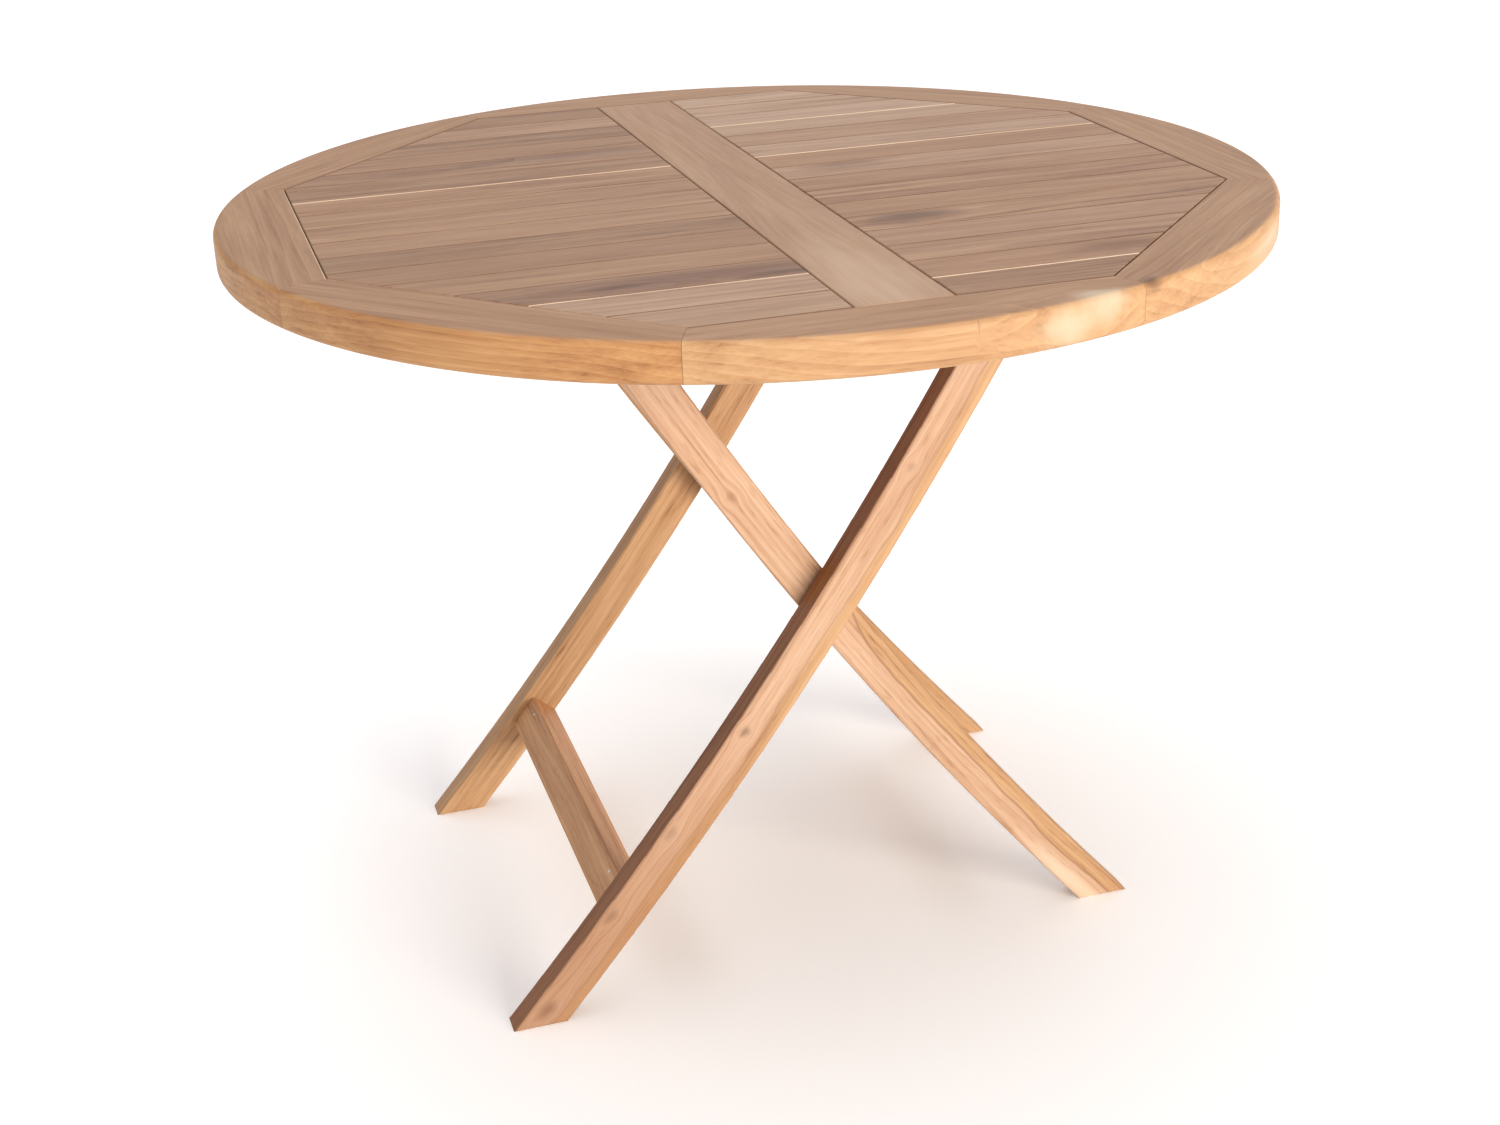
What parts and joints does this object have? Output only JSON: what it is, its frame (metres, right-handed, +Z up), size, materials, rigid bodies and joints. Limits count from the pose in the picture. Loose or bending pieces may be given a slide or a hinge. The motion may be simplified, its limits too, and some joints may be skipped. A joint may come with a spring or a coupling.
{
  "type": "folding picnic table",
  "caption": "Round slatted wooden table on two crossed bowed leg frames; the inner frame seats in notched runners and the top tips up as the legs fold.",
  "frame": {"origin": "on the floor, under the centre of the round top", "axes": "+Z up, +X along the slats and across the legs' scissor plane, towards the top's hinge; +Y along the centre board and the pivot axes"},
  "size_m": [1, 1, 0.74],
  "materials": {
    "teak_rim": "sanded, untreated",
    "teak_slats": "sanded, untreated",
    "teak_centre_board": "sanded, untreated",
    "teak_runners": "planed, untreated",
    "teak_legs": "sanded, untreated",
    "teak_rails": "sanded, untreated",
    "hardwood_tenons": "planed, glued in",
    "stainless_fittings": "satin",
    "brass_inserts": "plain turned"
  },
  "bodies": {
    "outer_frame": {"outer_leg_front": "teak_legs", "outer_leg_back": "teak_legs", "outer_stretcher": "teak_rails", "outer_frame_tenons": "hardwood_tenons", "outer_frame_pins": "stainless_fittings", "pivot_bolts": "stainless_fittings", "spacer_washers": "stainless_fittings", "threaded_inserts": "brass_inserts"},
    "tabletop": {"rim_board_1": "teak_rim", "rim_board_2": "teak_rim", "rim_board_3": "teak_rim", "rim_board_4": "teak_rim", "rim_board_5": "teak_rim", "rim_board_6": "teak_rim", "rim_board_7": "teak_rim", "rim_board_8": "teak_rim", "rim_tenons": "hardwood_tenons", "centre_board": "teak_centre_board", "slat_left_01": "teak_slats", "slat_left_02": "teak_slats", "slat_left_03": "teak_slats", "slat_left_04": "teak_slats", "slat_left_05": "teak_slats", "slat_left_06": "teak_slats", "slat_left_07": "teak_slats", "slat_left_08": "teak_slats", "slat_left_09": "teak_slats", "slat_left_10": "teak_slats", "slat_left_11": "teak_slats", "slat_left_12": "teak_slats", "slat_left_13": "teak_slats", "slat_left_14": "teak_slats", "slat_left_15": "teak_slats", "slat_left_16": "teak_slats", "slat_right_01": "teak_slats", "slat_right_02": "teak_slats", "slat_right_03": "teak_slats", "slat_right_04": "teak_slats", "slat_right_05": "teak_slats", "slat_right_06": "teak_slats", "slat_right_07": "teak_slats", "slat_right_08": "teak_slats", "slat_right_09": "teak_slats", "slat_right_10": "teak_slats", "slat_right_11": "teak_slats", "slat_right_12": "teak_slats", "slat_right_13": "teak_slats", "slat_right_14": "teak_slats", "slat_right_15": "teak_slats", "slat_right_16": "teak_slats", "runner_front": "teak_runners", "runner_back": "teak_runners", "runner_screws": "stainless_fittings"},
    "inner_frame": {"inner_leg_front": "teak_legs", "inner_leg_back": "teak_legs", "inner_stretcher": "teak_rails", "inner_top_rail": "teak_rails", "inner_frame_tenons": "hardwood_tenons", "inner_frame_pins": "stainless_fittings"}
  },
  "joints": [
    {"name": "top_tilt", "type": "hinge", "parent": "outer_frame", "child": "tabletop", "pos_m": [0.18951, 0, 0.6845], "axis": [0, 1, 0], "range_deg": [0, 119]},
    {"name": "leg_scissor", "type": "hinge", "parent": "outer_frame", "child": "inner_frame", "pos_m": [0, 0, 0.38798], "axis": [0, 1, 0], "range_deg": [0, 66]}
  ],
  "couplings": [
    {"joint": "leg_scissor", "follows": "top_tilt", "ratio": 0.5546}
  ]
}
